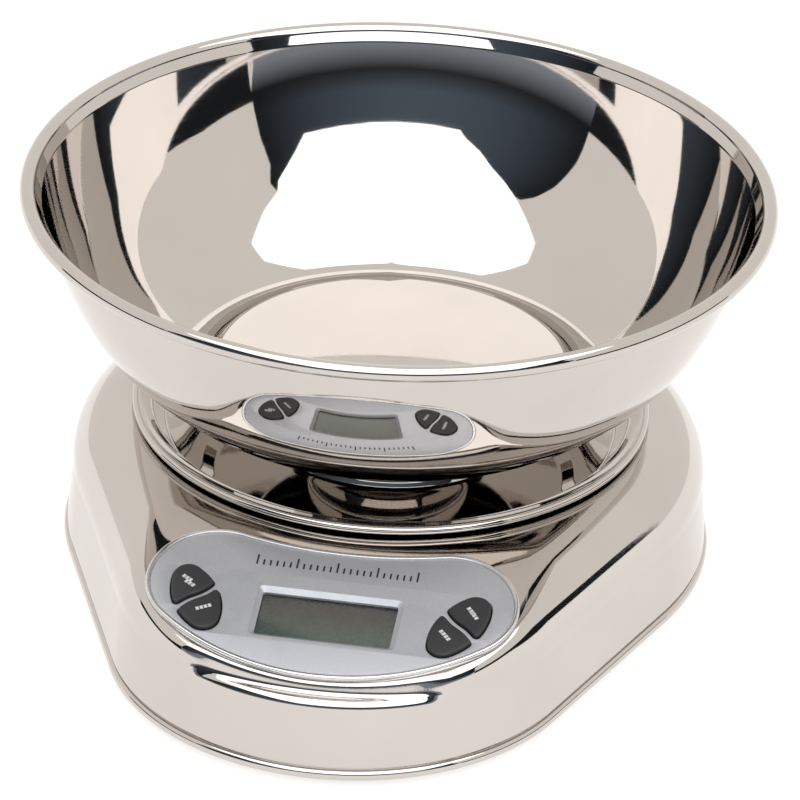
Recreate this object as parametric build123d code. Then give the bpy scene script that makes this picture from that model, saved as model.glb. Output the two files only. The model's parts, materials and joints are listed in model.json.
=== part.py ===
from build123d import *
import math
import os

# Electronic kitchen scale with a removable bowl. Millimetres, +Z up, the display faces -Y.
# Helpers work in the scale frame: its Z axis is the bowl's axis, and z = 0 is the bottom of the lip.
# place() then moves each piece into the part's frame, whose origin is on the table under the
# middle of the whole object.

# Housing
REAR_R = 100.0  # plan outline: a circle under the bowl ...
FRONT_R = 72.2  # ... and a smaller one in front, joined by their outer tangents
FRONT_D = 73.8  # distance between the two centres
SHEET = 0.8  # thickness of the pressed steel
LIP_OUT = 0.5  # the rolled bottom lip stands this far outside the outline
LIP_H = 3.4
LIP_ROUND = 1.55
HEM_TURN = 0.4  # the sheet's edge turns in this much under the lip
GROOVE_IN = 1.2
SKIRT_Z = 4.4
SKIRT_IN = 0.4
CREASE_Z = 24.0
CREASE_IN = 2.2
TOP_Z = 44.0
SHOULDER_R = 17.5
TRAY_HOLE_R = 75.0
PANEL_HOLE_GAP = 0.4  # between the panel's skirt and the hole it drops into
PANEL_HOLE_LOW, PANEL_HOLE_HIGH = -12.0, 1.0
LEDGE_Z = 26.0  # crescent-shaped ledge pressed into the front, above the skirt
LEDGE_HALF = 48.0
LEDGE_DEPTH = 4.6
LEDGE_BLEND = 1.6

# Control panel, tilted down towards the front
PANEL_TILT = 15.0
PANEL_Y = -88.0
BEZEL_EDGE = 1.4  # thickness of its edge, which rests on the housing's sloped facet
FACET_N = -1.5  # the facet lies this far below the panel's face
BEZEL_T = 2.0
BEAN_FRONT_R = 73.0
BEAN_FRONT_V = 20.5
BEAN_BACK_R = 130.0
BEAN_BACK_V = 128.7
BEAN_END_R = 21.0
BEZEL_SKIRT_IN = 1.8
BEZEL_SKIRT_T = 1.2
BEZEL_SKIRT_N = -5.0
RIM_W = 1.6
RIM_H = 0.5
RIM_ROUND = 0.4
WINDOW_U, WINDOW_V = 40.4, 17.0
WINDOW_MID_V = -28.2
WINDOW_FLARE = 2.2
WINDOW_BEVEL = 1.2
WINDOW_CORNER_R = 1.0
LENS_LAP = 2.4
LENS_T = 0.8
LCD_U, LCD_V, LCD_T = 42.0, 20.0, 1.6
LCD_TOP_N = -3.0
HOLDER_T = 1.15
HOLDER_GAP = 0.3
CONNECTOR_W = 2.2
CONNECTOR_SHORT = 4.0

# Keys
KEY_MID_U, KEY_MID_V = 39.2, -26.2
KEY_OVAL_SHORT, KEY_OVAL_R, KEY_OVAL_END_R = 6.9, 22.0, 4.5
KEY_OVAL_TURN = 65.0
KEY_GAP = 2.0
KEY_GAP_TURN = 50.0
KEY_WAVE = 0.7
KEY_REACH = 9.0
KEY_CORNER_R = 0.9
KEY_PROUD = 1.1
KEY_ROUND = 0.6
KEY_CLEAR = 0.35
KEY_TRAVEL = 0.8
KEY_FLANGE = 0.5
KEY_FLANGE_T = 0.6
KEY_FLANGE_GAP = 0.3
KEY_STEM_R = 1.8
KEY_STEM_GAP = 0.3
SWITCH_SIZE, SWITCH_H = 4.5, 1.4
PLUNGER_R, PLUNGER_H = 1.2, 0.4

# Circuit board
PCB_TOP_N = -7.0
PCB_T = 1.6
PCB_IN = 5.5
POST_U = 24.8
POST_TOP_V, POST_LOW_V = -10.0, -38.0
POST_R = 2.2
PCB_SCREW_R = 1.0
PCB_SCREW_L, PCB_HEAD_H = 4.5, 1.2
POST_BORE_N = -3.0
CHIP_U, CHIP_V, CHIP_R, CHIP_H = -8.0, -22.0, 6.0, 1.5

# Bowl
BOWL_R = 115.0
BOWL_H = 121.0  # rim above the bottom of the lip
BOWL_FOOT_Z = 55.5
BOWL_FOOT_R = 67.5
KICK_R = 54.0
KICK_H = 3.8
BOWL_RIM_W = 5.4
FLANGE_IN = 0.4  # the flange starts this far outside the wall's inner face
BOWL_FLANGE_RISE = 1.3
BOWL_ROLL_R = 1.8
BOWL_ROLL_DROP = 0.3
KICK_OUT, KICK_OUT_RISE = 4.0, 0.6  # where the kicked-up bottom meets the foot ring
FOOT_RING_R, FOOT_RING_RISE = 63.0, 0.9
WALL_LOW = (99.4, 89.5)  # points of the wall's outer face: radius and height
WALL_MID = (103.7, 99.5)

# Weighing tray
TRAY_R = 80.0
TRAY_TOP_Z = 47.6
TRAY_ROLL_R = 1.3
TRAY_ROLL_DROP = 0.15
TRAY_FLANGE_RISE = 0.7
TRAY_FLANGE_MID = 3.5
STEP_SLOPE = 1.0
TRAY_INNER_R = 74.2
TRAY_FLOOR_R = 70.0
TRAY_FLOOR_Z = 39.5
STEP_R, STEP_H = 42.0, 2.4
BOSS_R = 25.0
SEAT_GAP = 0.1
TRAY_TRAVEL = 0.6

# Load cell and its carrier
BEAM_L, BEAM_W = 80.0, 12.7
BEAM_Z = 12.0
BEAM_HOLE_R = 4.6
BEAM_HOLE_X = 7.5
BEAM_SCREW_X = (20.0, 35.0)
BEAM_SCREW_R = 2.0
BEAM_HEAD_R, BEAM_HEAD_H = 4.0, 2.0
BEAM_SCREW_L, BEAM_SCREW_LOW = 16.0, 3.0
CARRIER_SCREW_L, CARRIER_SCREW_TOP = 14.0, 33.0
BEAM_SLOT_W = 3.0
BEAM_PAD = (28.0, 18.0)  # raised pad under the fixed end
CARRIER_PAD = (26.0, 18.0)  # and the one on the free end
BEAM_OPENING = (32.0, 24.0)  # hole in the pan around the free end
STOP_BOSS_R, STOP_BOSS_GAP = 4.5, 3.0
STOP_GAP = 0.3
GAUGE_L, GAUGE_H, GAUGE_ROUND = 24.0, 1.4, 1.0
CARRIER_R = 58.0
CARRIER_Z = 35.8
CARRIER_T = 1.8
CARRIER_HUB_R = 22.0
CARRIER_HUB_T = 2.0
CARRIER_HUB_GAP = 0.4
CARRIER_HOLE_R, CARRIER_HOLE_AT = 6.5, 42.0
ARMS = range(0, 360, 60)  # directions of the carrier's arms
GROMMET_R = 4.0
GROMMET_AT = 50.0

# Inner frame and base
PAN_R = 77.0
PAN_WALL = 1.6
PAN_Z = 33.0
PAN_T = 1.6
PAN_GAP = 0.1
FRAME_R = 87.0
FRAME_Z = 39.0
FRAME_T = 1.5
FRAME_LAP = 0.5  # overlap of the frame's joined plates and pillars
PILLAR_AT = 82.0
PILLAR_ANGLES = (-65.0, -20.0, 32.0, 148.0, 200.0, 245.0)
PILLAR_R = 4.0
PILLAR_SPLIT_Z = 9.0
PILLAR_BORE_Z = 22.0
BASE_Z = 1.0
BASE_T = 2.2
BASE_IN = 2.7
BASE_WALL_GAP = 0.3
BASE_WALL_T = 1.7
BASE_WALL_H = 6.5
SCREW_R, SCREW_HEAD_R, SCREW_HEAD_H = 1.5, 2.8, 1.6
SCREW_L = 17.0
BORE_GAP = 0.05  # radial gap around a screw
HEAD_GAP = 0.3  # radial gap around its head
HEAD_SINK = 0.2  # the head's face lies this far above the plate's outer face
CROSS_L, CROSS_W = 1.2, 0.5  # cross recess: its length in head radii, and its width
FOOT_R = 8.0
FOOT_STAND = 1.5
FOOT_SINK = 0.6
FOOT_GAP = 0.2
FOOT_STUD_R, FOOT_STUD_GAP = 2.5, 0.1
FOOT_BARB_R, FOOT_BARB_H = 3.2, 1.2
FOOT_SPOTS = {
    "foot_front_left": (-48.0, -98.0),
    "foot_front_right": (48.0, -98.0),
    "foot_rear_left": (-50.0, 62.0),
    "foot_rear_right": (50.0, 62.0),
}

# Batteries, two AAA cells side by side
CELL_R, CELL_L = 5.2, 43.2
CELL_ROUND = 0.6
NUB_R, NUB_H = 1.9, 0.8
CELL_SHIFT = 2.4  # each cell sits this far towards its positive end
CELL_PITCH = 11.6
CELL_Z = 9.2
BAY_X, BAY_Y = 55.0, 24.4
BAY_MID_Y = 58.0
BAY_WALL = 1.6
BAY_ROOF_Z = 15.2
DOOR_T = 1.8
DOOR_GAP = 0.3
DOOR_ROUND = 0.89
NOTCH = (12.0, 3.0)
NOTCH_R, NOTCH_DEPTH = 1.2, 0.8
CONTACT_T = 0.4
CONTACT_SIDE = 8.4
BRACKET_W, BRACKET_RISE = 3.0, 4.0
SPRING_R, SPRING_WIRE_R = 3.2, 0.35
SPRING_TURNS = 4
SPRING_GAP = 0.2

# Leads
LEAD_R = 0.7
LEAD_Z = 5.6
LEAD_OUT_X, LEAD_SIDE_X = 44.0, 54.0  # where a battery lead leaves the bay, and where it runs forward
LEAD_BACK_Y, LEAD_FRONT_Y = 20.0, -70.0
LEAD_BENDS = (6.0, 12.0, 12.0, 7.0)
BOARD_U, BOARD_V, BOARD_DROP = 17.0, -10.0, 22.0  # where it meets the board, and its drop below
CABLE_R = 1.3
CABLE_X, CABLE_RISE = -12.0, 3.0
CABLE_OUT, CABLE_FRONT_Y, CABLE_LOW_Z = 16.0, -60.0, 8.0
CABLE_BENDS = (7.0, 10.0, 7.0)

AXIS_Y = (FRONT_D + FRONT_R + LIP_OUT - BOWL_R) / 2
panel = Plane(
    origin=(0, PANEL_Y, TOP_Z),
    x_dir=(1, 0, 0),
    z_dir=(0, -math.sin(math.radians(PANEL_TILT)), math.cos(math.radians(PANEL_TILT))),
)


def place(shape):
    """Moves a piece from the scale frame into the part's frame."""
    return Pos(0, AXIS_Y, FOOT_STAND) * shape


def slab(face, low, high):
    """Solid of a flat face between two heights."""
    return extrude(Pos(0, 0, low) * face, amount=high - low)


def disc(radius, low, high, x=0.0, y=0.0):
    """Upright cylinder between two heights."""
    return slab(Pos(x, y) * Circle(radius), low, high)


def outline(grow):
    """Plan outline of the housing, offset outward by grow."""
    rear, front = REAR_R + grow, FRONT_R + grow
    lean = math.asin((REAR_R - FRONT_R) / FRONT_D)
    nx, ny = math.cos(lean), -math.sin(lean)
    side = Line((rear * nx, rear * ny), (front * nx, front * ny - FRONT_D))
    other = Line((-front * nx, front * ny - FRONT_D), (-rear * nx, rear * ny))
    nose = ThreePointArc(side @ 1, (0, -FRONT_D - front), other @ 0)
    back = ThreePointArc(other @ 1, (0, rear), side @ 0)
    return make_face(side + nose + other + back)


def bean(grow):
    """Outline of the control panel in its own plane, offset outward by grow.

    Its convex front and hollow back are joined by an end circle that is tangent to both.
    """
    to_front = BEAN_FRONT_R - BEAN_END_R
    to_back = BEAN_BACK_R + BEAN_END_R
    span = BEAN_BACK_V - BEAN_FRONT_V
    rise = (to_front**2 - to_back**2 + span**2) / (2 * span)
    end = Vector(math.sqrt(to_front**2 - rise**2), BEAN_FRONT_V + rise)
    front_mid, back_mid = Vector(0, BEAN_FRONT_V), Vector(0, BEAN_BACK_V)
    low = front_mid + (end - front_mid).normalized() * (BEAN_FRONT_R + grow)
    high = back_mid + (end - back_mid).normalized() * (BEAN_BACK_R - grow)
    tip = end + Vector(BEAN_END_R + grow, 0)
    right = ThreePointArc(low, tip, high)
    left = ThreePointArc((-high.X, high.Y), (-tip.X, tip.Y), (-low.X, low.Y))
    front = ThreePointArc(left @ 1, (0, BEAN_FRONT_V - BEAN_FRONT_R - grow), right @ 0)
    back = ThreePointArc(right @ 1, (0, BEAN_BACK_V - BEAN_BACK_R + grow), left @ 0)
    return make_face(front + right + back + left)


# ---- housing


def ledge_cutter(inset):
    """Crescent cut above the front skirt, which runs out to nothing at its two ends."""
    crease = FRONT_R - CREASE_IN - inset
    end_y = -FRONT_D - math.sqrt((FRONT_R - CREASE_IN) ** 2 - LEDGE_HALF**2) + inset
    mid_y = -FRONT_D - crease + LEDGE_DEPTH
    far_y = -FRONT_D - FRONT_R - SHEET
    wall = ThreePointArc((-LEDGE_HALF, end_y), (0, mid_y), (LEDGE_HALF, end_y))
    rest = Polyline(
        (LEDGE_HALF, end_y), (LEDGE_HALF, far_y), (-LEDGE_HALF, far_y), (-LEDGE_HALF, end_y)
    )
    cutter = slab(make_face(wall + rest), LEDGE_Z - inset, TOP_Z)
    foot = cutter.edges().filter_by(GeomType.CIRCLE).sort_by(Axis.Z)[0]
    return fillet(foot, LEDGE_BLEND)


def housing(inset):
    """Outer shape of the housing above its groove, every surface moved inward by inset."""
    skirt = loft([Pos(0, 0, SKIRT_Z) * outline(-SKIRT_IN - inset),
                  Pos(0, 0, CREASE_Z) * outline(-CREASE_IN - inset)])
    upper = slab(outline(-CREASE_IN - inset), CREASE_Z, TOP_Z - inset)
    rim = upper.faces().sort_by(Axis.Z)[-1].edges()
    upper = fillet(rim, SHOULDER_R - inset)
    above_facet = panel * slab(Rectangle(2 * REAR_R, 2 * REAR_R), FACET_N - inset, TOP_Z)
    above_facet -= disc(TRAY_R, 0, 2 * TOP_Z)
    return skirt + upper - above_facet - ledge_cutter(inset)


def make_upper_shell():
    shell = housing(0) - housing(SHEET)
    shell -= disc(TRAY_HOLE_R, CREASE_Z, TOP_Z + 1)
    shell -= panel * slab(bean(-BEZEL_SKIRT_IN + PANEL_HOLE_GAP), PANEL_HOLE_LOW, PANEL_HOLE_HIGH)
    hem_in = -GROOVE_IN - SHEET - HEM_TURN
    lip = slab(outline(LIP_OUT), 0, LIP_H)
    lip = fillet(lip.edges().group_by(Axis.Z)[-1] + lip.edges().group_by(Axis.Z)[0], LIP_ROUND)
    neck = slab(outline(-GROOVE_IN), LIP_H / 2, SKIRT_Z)
    turn_in = slab(outline(-SKIRT_IN), SKIRT_Z, SKIRT_Z + SHEET)
    hem = lip + neck + turn_in - slab(outline(hem_in), -1, SKIRT_Z + SHEET + 1)
    return shell + hem


# ---- base


def pillar_spots():
    """Where the screw pillars of the base and the inner frame meet."""
    for angle in PILLAR_ANGLES:
        turn = math.radians(angle)
        yield PILLAR_AT * math.cos(turn), PILLAR_AT * math.sin(turn)


def bay_shell():
    """Walls and roof of the battery bay."""
    outer = Pos(0, BAY_MID_Y) * Rectangle(BAY_X + 2 * BAY_WALL, BAY_Y + 2 * BAY_WALL)
    inner = Pos(0, BAY_MID_Y) * Rectangle(BAY_X, BAY_Y)
    return slab(outer, BASE_Z, BAY_ROOF_Z + BAY_WALL) - slab(inner, 0, BAY_ROOF_Z)


def beam_end_x():
    """Middle between the two screws at one end of the beam."""
    return (BEAM_SCREW_X[0] + BEAM_SCREW_X[1]) / 2


def make_base_plate():
    top = BASE_Z + BASE_T
    plate = slab(outline(-BASE_IN), BASE_Z, top)
    wall_in = BASE_IN + BASE_WALL_GAP
    plate += slab(outline(-wall_in) - outline(-wall_in - BASE_WALL_T), top, top + BASE_WALL_H)
    plate += bay_shell()
    plate -= slab(Pos(0, BAY_MID_Y) * Rectangle(BAY_X, BAY_Y), 0, BAY_ROOF_Z)
    plate += slab(Pos(-beam_end_x(), 0) * Rectangle(*BEAM_PAD), top, BEAM_Z)
    plate += disc(STOP_BOSS_R, top, BEAM_Z - STOP_BOSS_GAP, BEAM_SCREW_X[1])
    plate -= disc(BEAM_SCREW_R + BORE_GAP, top, BEAM_Z, BEAM_SCREW_X[1])
    for x, y in pillar_spots():
        plate += disc(PILLAR_R, top, PILLAR_SPLIT_Z, x, y)
        plate -= disc(SCREW_HEAD_R + HEAD_GAP, 0, BASE_Z + SCREW_HEAD_H + HEAD_SINK, x, y)
        plate -= disc(SCREW_R + BORE_GAP, 0, PILLAR_SPLIT_Z + 1, x, y)
    for screw_x in BEAM_SCREW_X:
        plate -= disc(BEAM_HEAD_R + HEAD_GAP, 0, BEAM_SCREW_LOW + BEAM_HEAD_H, -screw_x)
        plate -= disc(BEAM_SCREW_R + BORE_GAP, 0, BEAM_Z + 1, -screw_x)
    for x, y in FOOT_SPOTS.values():
        plate -= disc(FOOT_R + FOOT_GAP, 0, BASE_Z + FOOT_SINK, x, y)
        plate -= disc(FOOT_STUD_R + FOOT_STUD_GAP, 0, top + 1, x, y)
    return plate


def screw(x, y, head_low, length, shank_r, head_r, head_h, down=False):
    """Pan-head screw with a cross recess: the head's outer face is at head_low, or on top if down."""
    body = disc(head_r, 0, head_h) + disc(shank_r, head_h, head_h + length)
    for turn in (0, 90):
        body -= Rot(0, 0, turn) * slab(Rectangle(head_r * CROSS_L, CROSS_W), 0, head_h / 2)
    if down:
        body = Rot(180, 0, 0) * body
    return Pos(x, y, head_low) * body


def make_base_screws():
    low = BASE_Z + HEAD_SINK
    return [screw(x, y, low, SCREW_L, SCREW_R, SCREW_HEAD_R, SCREW_HEAD_H)
            for x, y in pillar_spots()]


def make_foot(x, y):
    pad = disc(FOOT_R, -FOOT_STAND, BASE_Z + FOOT_SINK, x, y)
    pad = chamfer(pad.edges().group_by(Axis.Z)[0], FOOT_SINK)
    barb = BASE_Z + BASE_T
    stud = disc(FOOT_STUD_R, BASE_Z, barb, x, y)
    return pad + stud + disc(FOOT_BARB_R, barb, barb + FOOT_BARB_H, x, y)


def make_inner_frame():
    pan = disc(PAN_R, PAN_Z, TOP_Z - SHEET - PAN_GAP) - disc(PAN_R - PAN_WALL, PAN_Z + PAN_T, TOP_Z)
    pan += disc(FRAME_R, FRAME_Z, FRAME_Z + FRAME_T) - disc(PAN_R - FRAME_LAP, 0, TOP_Z)
    pan -= slab(Pos(beam_end_x(), 0) * Rectangle(*BEAM_OPENING), 0, PAN_Z + PAN_T)
    for x, y in pillar_spots():
        pan += disc(PILLAR_R, PILLAR_SPLIT_Z, FRAME_Z + FRAME_LAP, x, y)
        pan -= disc(SCREW_R + BORE_GAP, 0, PILLAR_BORE_Z, x, y)
    return pan


# ---- load cell


def make_load_cell():
    beam = slab(Rectangle(BEAM_L, BEAM_W), BEAM_Z, BEAM_Z + BEAM_W)
    middle = BEAM_Z + BEAM_W / 2
    across = Plane.XZ.offset(-BEAM_W)
    for x in (-BEAM_HOLE_X, BEAM_HOLE_X):
        beam -= extrude(across * Pos(x, middle) * Circle(BEAM_HOLE_R), 2 * BEAM_W)
    beam -= extrude(across * Pos(0, middle) * Rectangle(2 * BEAM_HOLE_X, BEAM_SLOT_W), 2 * BEAM_W)
    for x in BEAM_SCREW_X:
        for side in (-1, 1):
            beam -= disc(BEAM_SCREW_R + BORE_GAP, BEAM_Z - 1, BEAM_Z + BEAM_W + 1, side * x)
    return beam


def make_gauge_coating():
    top = BEAM_Z + BEAM_W
    pad = slab(Rectangle(GAUGE_L, BEAM_W - 2), top, top + GAUGE_H)
    return fillet(pad.edges().group_by(Axis.Z)[-1], GAUGE_ROUND)


def make_load_cell_base_screws():
    return [screw(-x, 0, BEAM_SCREW_LOW, BEAM_SCREW_L, BEAM_SCREW_R, BEAM_HEAD_R, BEAM_HEAD_H)
            for x in BEAM_SCREW_X]


def make_load_cell_carrier_screws():
    return [screw(x, 0, CARRIER_SCREW_TOP, CARRIER_SCREW_L, BEAM_SCREW_R, BEAM_HEAD_R, BEAM_HEAD_H,
                  down=True)
            for x in BEAM_SCREW_X]


def make_overload_stop_screw():
    stud = disc(BEAM_SCREW_R, BASE_Z + BASE_T, BEAM_Z - TRAY_TRAVEL - STOP_GAP, BEAM_SCREW_X[1])
    return chamfer(stud.edges().group_by(Axis.Z)[-1], STOP_GAP)


def make_platform_carrier():
    top = CARRIER_Z + CARRIER_T
    body = disc(CARRIER_R, CARRIER_Z, top)
    for angle in ARMS:
        body -= Rot(0, 0, angle + 30) * disc(CARRIER_HOLE_R, CARRIER_Z, top, CARRIER_HOLE_AT)
    hub_top = bowl_seat_z() - SHEET - CARRIER_HUB_GAP
    body += disc(CARRIER_HUB_R, top, hub_top)
    body -= disc(CARRIER_HUB_R - CARRIER_HUB_T, top, hub_top - CARRIER_HUB_T)
    body += slab(Pos(beam_end_x(), 0) * Rectangle(*CARRIER_PAD), BEAM_Z + BEAM_W, CARRIER_Z)
    head_low = CARRIER_SCREW_TOP - BEAM_HEAD_H
    for x in BEAM_SCREW_X:
        body -= disc(BEAM_HEAD_R + HEAD_GAP, head_low, hub_top + 1, x)
        body -= disc(BEAM_SCREW_R + BORE_GAP, BEAM_Z + BEAM_W, CARRIER_SCREW_TOP, x)
    return body


def make_tray_grommets():
    low, high = CARRIER_Z + CARRIER_T, TRAY_FLOOR_Z - SHEET
    spots = [math.radians(angle) for angle in ARMS]
    return [disc(GROMMET_R, low, high, GROMMET_AT * math.cos(a), GROMMET_AT * math.sin(a))
            for a in spots]


# ---- tray and bowl


def bowl_seat_z():
    """Top of the tray's raised centre, just under the bowl's kicked-up bottom."""
    return BOWL_FOOT_Z + KICK_H - SEAT_GAP


def pressed(path):
    """Solid of revolution of a steel sheet whose outer face follows path."""
    strip = Wire(path).offset_2d(SHEET, side=Side.LEFT, closed=True)
    return revolve(Plane.XZ * Face(strip), Axis.Z)


def rolled_rim(radius, top, roll_r):
    """The bead that the flange's edge is rolled into."""
    return Pos(0, 0, top) * Torus(radius - roll_r, roll_r)


def make_bowl():
    plateau = BOWL_FOOT_Z + KICK_H
    foot_in = (KICK_R + KICK_OUT, BOWL_FOOT_Z + KICK_OUT_RISE)
    foot_out = (BOWL_FOOT_R, BOWL_FOOT_Z + FOOT_RING_RISE)
    rim_in = (BOWL_R - BOWL_RIM_W + FLANGE_IN, BOWL_H - SHEET - BOWL_FLANGE_RISE)
    rim_out = (BOWL_R - BOWL_ROLL_R, BOWL_H - SHEET - BOWL_ROLL_DROP)
    bottom = Polyline((0, plateau), (KICK_R, plateau), foot_in)
    ring = ThreePointArc(foot_in, (FOOT_RING_R, BOWL_FOOT_Z), foot_out)
    wall = ThreePointArc(WALL_LOW, WALL_MID, rim_in)
    turn = TangentArc(wall @ 0, foot_out, tangent=-(wall % 0))
    flange = ThreePointArc(rim_in, (BOWL_R - BOWL_RIM_W / 2, BOWL_H - SHEET), rim_out)
    path = [edge for run in (bottom, ring, turn, wall, flange) for edge in run.edges()]
    return pressed(path) + rolled_rim(BOWL_R, BOWL_H - BOWL_ROLL_DROP - BOWL_ROLL_R, BOWL_ROLL_R)


def make_platform_tray():
    low = TRAY_FLOOR_Z - SHEET
    seat = bowl_seat_z() - SHEET
    rim_in = (TRAY_INNER_R + FLANGE_IN, TRAY_TOP_Z - SHEET - TRAY_FLANGE_RISE)
    rim_out = (TRAY_R - TRAY_ROLL_R, TRAY_TOP_Z - SHEET - TRAY_ROLL_DROP)
    dish = Polyline((0, seat), (BOSS_R - SHEET, seat), (BOSS_R - SHEET, low + STEP_H),
                    (STEP_R - STEP_SLOPE, low + STEP_H), (STEP_R, low), (TRAY_FLOOR_R, low), rim_in)
    flange = ThreePointArc(rim_in, (TRAY_R - TRAY_FLANGE_MID, TRAY_TOP_Z - SHEET), rim_out)
    bead = rolled_rim(TRAY_R, TRAY_TOP_Z - TRAY_ROLL_R, TRAY_ROLL_R)
    return pressed(dish.edges() + flange.edges()) + bead


# ---- control panel


def window(grow=0.0):
    return Pos(0, WINDOW_MID_V) * RectangleRounded(WINDOW_U + grow, WINDOW_V + grow, WINDOW_CORNER_R)


def wave(height):
    """Flat S-curve of two arcs across the middle of a key pair."""
    left = ThreePointArc((-KEY_REACH, height), (-KEY_REACH / 2, height - KEY_WAVE), (0, height))
    right = ThreePointArc((0, height), (KEY_REACH / 2, height + KEY_WAVE), (KEY_REACH, height))
    return left + right


def key_pair(side):
    """Faces of the two keys on one side: an oval split by a wavy band."""
    shift = KEY_OVAL_R - KEY_OVAL_SHORT
    lens = Pos(0, shift) * Circle(KEY_OVAL_R) & Pos(0, -shift) * Circle(KEY_OVAL_R)
    oval = Rot(0, 0, side * KEY_OVAL_TURN) * fillet(lens.vertices(), KEY_OVAL_END_R)
    upper, lower = wave(KEY_GAP / 2), wave(-KEY_GAP / 2)
    ends = Line(upper @ 0, lower @ 0) + Line(upper @ 1, lower @ 1)
    band = make_face(upper + lower + ends)
    if side < 0:
        band = mirror(band, Plane.YZ)
    halves = (oval - Rot(0, 0, -side * KEY_GAP_TURN) * band).faces().sort_by(Axis.Y)
    rounded = [offset(offset(half, -KEY_CORNER_R), KEY_CORNER_R) for half in halves]
    return [Pos(side * KEY_MID_U, KEY_MID_V) * face for face in rounded]


def key_faces():
    lower_left, upper_left = key_pair(-1)
    lower_right, upper_right = key_pair(1)
    return {"button_power": upper_left, "button_mode": lower_left,
            "button_tare": upper_right, "button_hold": lower_right}


def key_centre(face):
    middle = face.center()
    return middle.X, middle.Y


def make_key(face):
    """Rubber key with a flange under the panel and a stem over its switch."""
    cap = slab(face, -BEZEL_T - KEY_FLANGE_GAP, KEY_PROUD)
    cap = fillet(cap.faces().sort_by(Axis.Z)[-1].edges(), KEY_ROUND)
    flange_top = -BEZEL_T - KEY_FLANGE_GAP
    flange = slab(offset(face, KEY_FLANGE), flange_top - KEY_FLANGE_T, flange_top)
    stem_low = PCB_TOP_N + SWITCH_H + PLUNGER_H + KEY_TRAVEL + KEY_STEM_GAP
    stem = disc(KEY_STEM_R, stem_low, flange_top, *key_centre(face))
    return panel * (cap + flange + stem)


def make_key_switches():
    switches = []
    for face in key_faces().values():
        u, v = key_centre(face)
        case = slab(Pos(u, v) * Rectangle(SWITCH_SIZE, SWITCH_SIZE), PCB_TOP_N, PCB_TOP_N + SWITCH_H)
        top = PCB_TOP_N + SWITCH_H
        switches.append(panel * (case + disc(PLUNGER_R, top, top + PLUNGER_H, u, v)))
    return switches


def board_posts():
    """Where the board is screwed to the panel."""
    return [(side * POST_U, v) for side in (-1, 1) for v in (POST_TOP_V, POST_LOW_V)]


def make_display_bezel():
    body = slab(bean(0), -BEZEL_EDGE, 0) + slab(bean(-BEZEL_SKIRT_IN), -BEZEL_T, 0)
    body += slab(bean(0) - bean(-RIM_W), 0, RIM_H)
    body = fillet(body.faces().sort_by(Axis.Z)[-1].edges(), RIM_ROUND)
    body += slab(bean(-BEZEL_SKIRT_IN) - bean(-BEZEL_SKIRT_IN - BEZEL_SKIRT_T), BEZEL_SKIRT_N, -1)
    for u, v in board_posts():
        body += disc(POST_R, PCB_TOP_N, -1, u, v)
        body -= disc(PCB_SCREW_R + BORE_GAP, PCB_TOP_N, POST_BORE_N, u, v)
    bevel = loft([Pos(0, 0, -WINDOW_BEVEL) * window(), window(2 * WINDOW_FLARE)])
    body -= bevel + slab(window(), -BEZEL_T, -WINDOW_BEVEL)
    for face in key_faces().values():
        body -= slab(offset(face, KEY_CLEAR), -BEZEL_T, RIM_H)
        body -= slab(offset(face, KEY_FLANGE + KEY_CLEAR), BEZEL_SKIRT_N, -BEZEL_T)
    return panel * body


def make_lcd_window():
    return panel * slab(window(LENS_LAP), -BEZEL_T - LENS_T, -BEZEL_T)


def lcd_plate(grow=0.0):
    return Pos(0, WINDOW_MID_V) * Rectangle(LCD_U + grow, LCD_V + grow)


def make_lcd_panel():
    return panel * slab(lcd_plate(), LCD_TOP_N - LCD_T, LCD_TOP_N)


def make_lcd_holder():
    ring = lcd_plate(HOLDER_GAP + 2 * HOLDER_T) - lcd_plate(HOLDER_GAP)
    return panel * slab(ring, PCB_TOP_N, LCD_TOP_N)


def make_lcd_connector():
    strip = Rectangle(LCD_U - CONNECTOR_SHORT, CONNECTOR_W)
    strip = Pos(0, WINDOW_MID_V - LCD_V / 2 + CONNECTOR_W) * strip
    return panel * slab(strip, PCB_TOP_N, LCD_TOP_N - LCD_T)


def make_main_pcb():
    board = slab(bean(-PCB_IN), PCB_TOP_N - PCB_T, PCB_TOP_N)
    for u, v in board_posts():
        board -= disc(PCB_SCREW_R + BORE_GAP, PCB_TOP_N - PCB_T, PCB_TOP_N, u, v)
    return panel * board


def make_pcb_screws():
    low = PCB_TOP_N - PCB_T - PCB_HEAD_H
    return [panel * screw(u, v, low, PCB_SCREW_L, PCB_SCREW_R, POST_R, PCB_HEAD_H)
            for u, v in board_posts()]


def make_chip_coating():
    under = PCB_TOP_N - PCB_T
    ball_r = (CHIP_R**2 + CHIP_H**2) / (2 * CHIP_H)
    ball = Pos(CHIP_U, CHIP_V, under - CHIP_H + ball_r) * Sphere(ball_r)
    return panel * (ball & disc(CHIP_R + 1, under - 2 * CHIP_H, under, CHIP_U, CHIP_V))


# ---- batteries


def make_battery(side):
    """One cell along X, with its positive nub towards side."""
    low = BAY_MID_Y + side * CELL_PITCH / 2
    cell = disc(CELL_R, -CELL_L / 2, CELL_L / 2 - NUB_H)
    cell = fillet(cell.edges().filter_by(GeomType.CIRCLE), CELL_ROUND)
    cell += disc(NUB_R, CELL_L / 2 - NUB_H, CELL_L / 2)
    return Pos(side * CELL_SHIFT, low, CELL_Z) * Rot(0, side * 90, 0) * cell


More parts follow.
